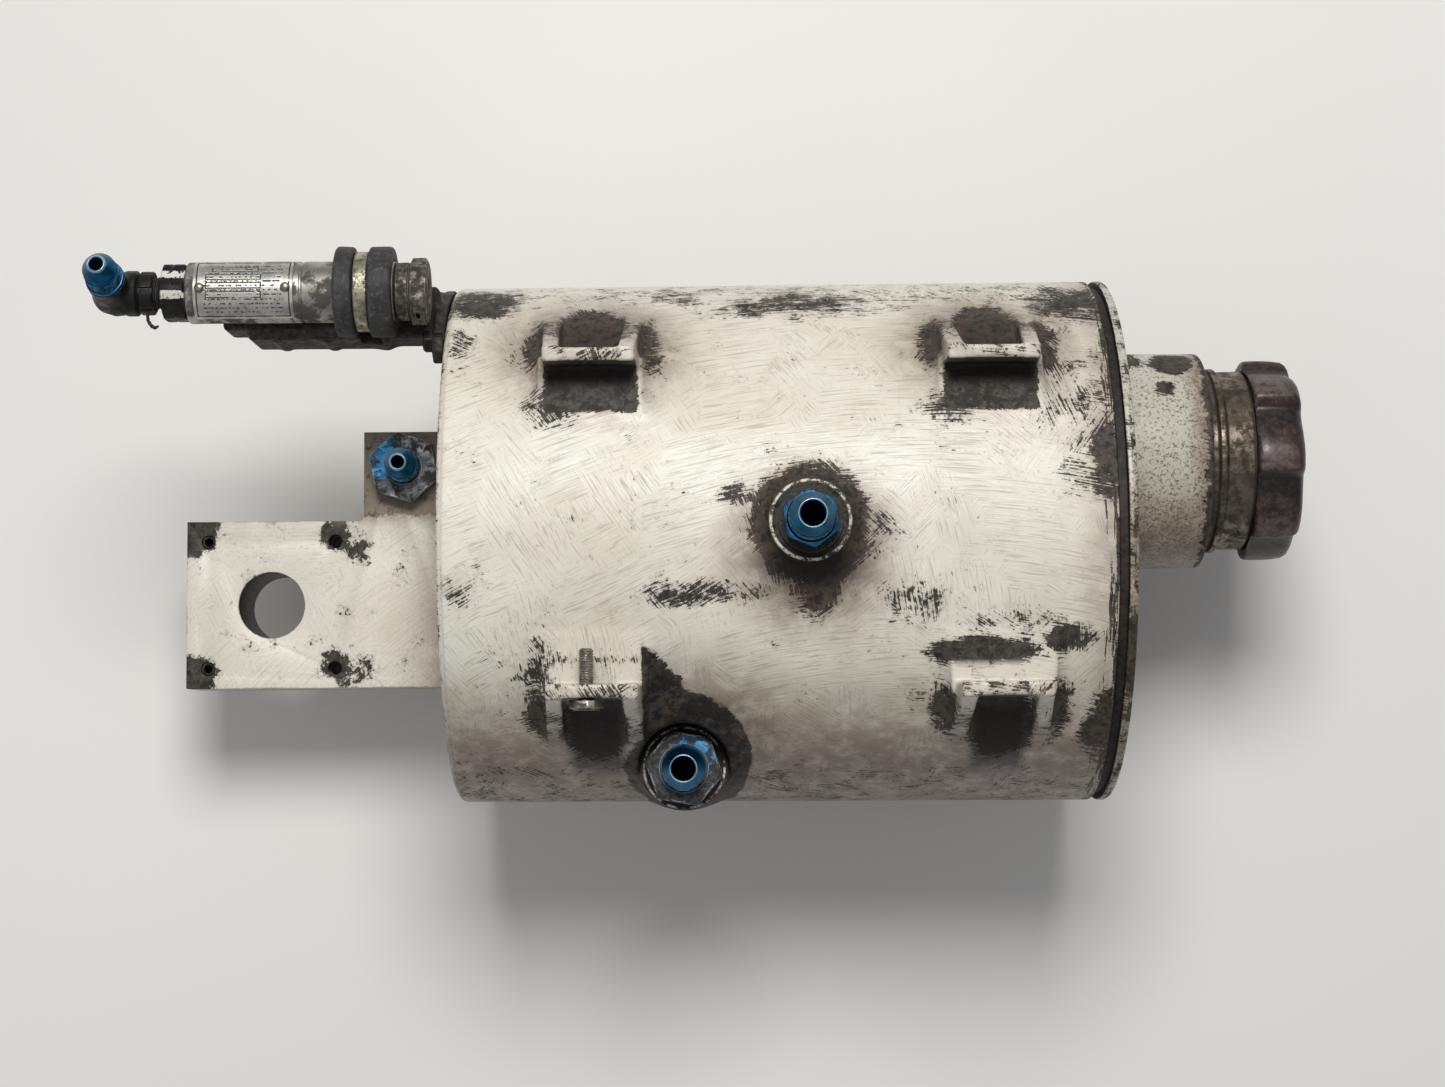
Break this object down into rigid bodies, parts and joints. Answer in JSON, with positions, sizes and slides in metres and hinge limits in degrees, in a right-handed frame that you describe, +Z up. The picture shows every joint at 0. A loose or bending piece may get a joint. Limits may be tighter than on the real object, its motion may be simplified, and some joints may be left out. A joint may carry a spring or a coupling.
{
  "type": "hydraulic reservoir",
  "caption": "Cylindrical hydraulic fluid reservoir with mounting lugs, flared-tube ports, a clamped relief valve, a bored port block and a lobed filler cap.",
  "frame": {"origin": "centre of the flat base pad under the tank", "axes": "+X along the tank axis towards the filler cap, +Z up through the mounting lugs and the port fittings, +Y across, towards the relief valve"},
  "size_m": [0.3952, 0.1819, 0.208],
  "materials": {
    "enamel": "brushed cream enamel over cast aluminium, chipped and grimy",
    "dark_casting": "bare dark oxidised casting",
    "blue_anodise": "deep blue anodise with bright worn edges",
    "worn_metal": "worn silver-grey anodise with scratches",
    "steel": "plated steel, dulled",
    "black_finish": "black oxide, greasy",
    "valve_metal": "bare metal with dark oily patches",
    "plate_metal": null,
    "cushion_rubber": "matt charcoal rubber",
    "band_metal": "worn yellowish plated band",
    "collar_metal": "stained bare metal",
    "knob_plastic": "worn dark reddish-brown moulding",
    "seal_rubber": "black seal rubber",
    "brass": "machined brass",
    "spring_steel": "bright spring wire"
  },
  "bodies": {
    "tank": {"tank_body": "enamel", "lug_upper_left": "enamel", "lug_upper_right": "enamel", "lug_lower_left": "enamel", "lug_lower_right": "enamel", "end_cover": "enamel", "cover_seal": "seal_rubber", "standpipe": "worn_metal", "baffle_plate": "worn_metal", "drain_plug": "worn_metal", "drain_plug_seal": "seal_rubber", "port_block": "enamel", "thread_insert_upper": "steel", "thread_insert_lower": "steel", "filler_collar": "collar_metal", "filler_strainer": "brass", "centre_port_fitting": "blue_anodise", "centre_port_seal": "seal_rubber", "lower_port_fitting": "blue_anodise", "lower_port_nut": "worn_metal", "lower_port_seal": "seal_rubber", "block_port_fitting": "blue_anodise", "block_port_nut": "worn_metal", "block_port_seal": "seal_rubber", "valve_arm": "dark_casting", "arm_screw_upper": "black_finish", "arm_screw_lower": "black_finish", "valve_body": "valve_metal", "valve_nameplate": "plate_metal", "nameplate_screw_left": "plate_metal", "nameplate_screw_right": "plate_metal", "valve_adapter": "black_finish", "valve_lock_nut": "black_finish", "valve_elbow": "black_finish", "valve_end_cap": "valve_metal", "valve_seat": "brass", "valve_spring": "spring_steel", "clamp_cushion": "cushion_rubber", "clamp_band": "band_metal", "clamp_screw": "steel", "clamp_nut": "steel", "lock_wire": "spring_steel"},
    "cap_plug": {"cap_plug": "collar_metal", "cap_gasket": "seal_rubber"},
    "cap_knob": {"cap_knob": "knob_plastic", "cap_stem": "steel", "cap_nut": "steel"},
    "poppet": {"valve_poppet": "brass"},
    "bolt": {"lug_bolt": "steel"}
  },
  "joints": [
    {"name": "cap_lift", "type": "slide", "parent": "tank", "child": "cap_plug", "axis": [1, 0, 0], "range_m": [0, 0.06]},
    {"name": "cap_turn", "type": "hinge", "parent": "cap_plug", "child": "cap_knob", "pos_m": [0.169, 0.027, 0.091], "axis": [1, 0, 0], "range_deg": [0, 90]},
    {"name": "relief_poppet", "type": "slide", "parent": "tank", "child": "poppet", "axis": [1, 0, 0], "range_m": [0, 0.003], "stiffness_N_per_m": 1000, "springref_m": -0.003, "deforming": ["valve_spring"]},
    {"name": "lug_bolt_slide", "type": "slide", "parent": "tank", "child": "bolt", "axis": [0, -1, 0], "range_m": [0, 0.025]}
  ]
}
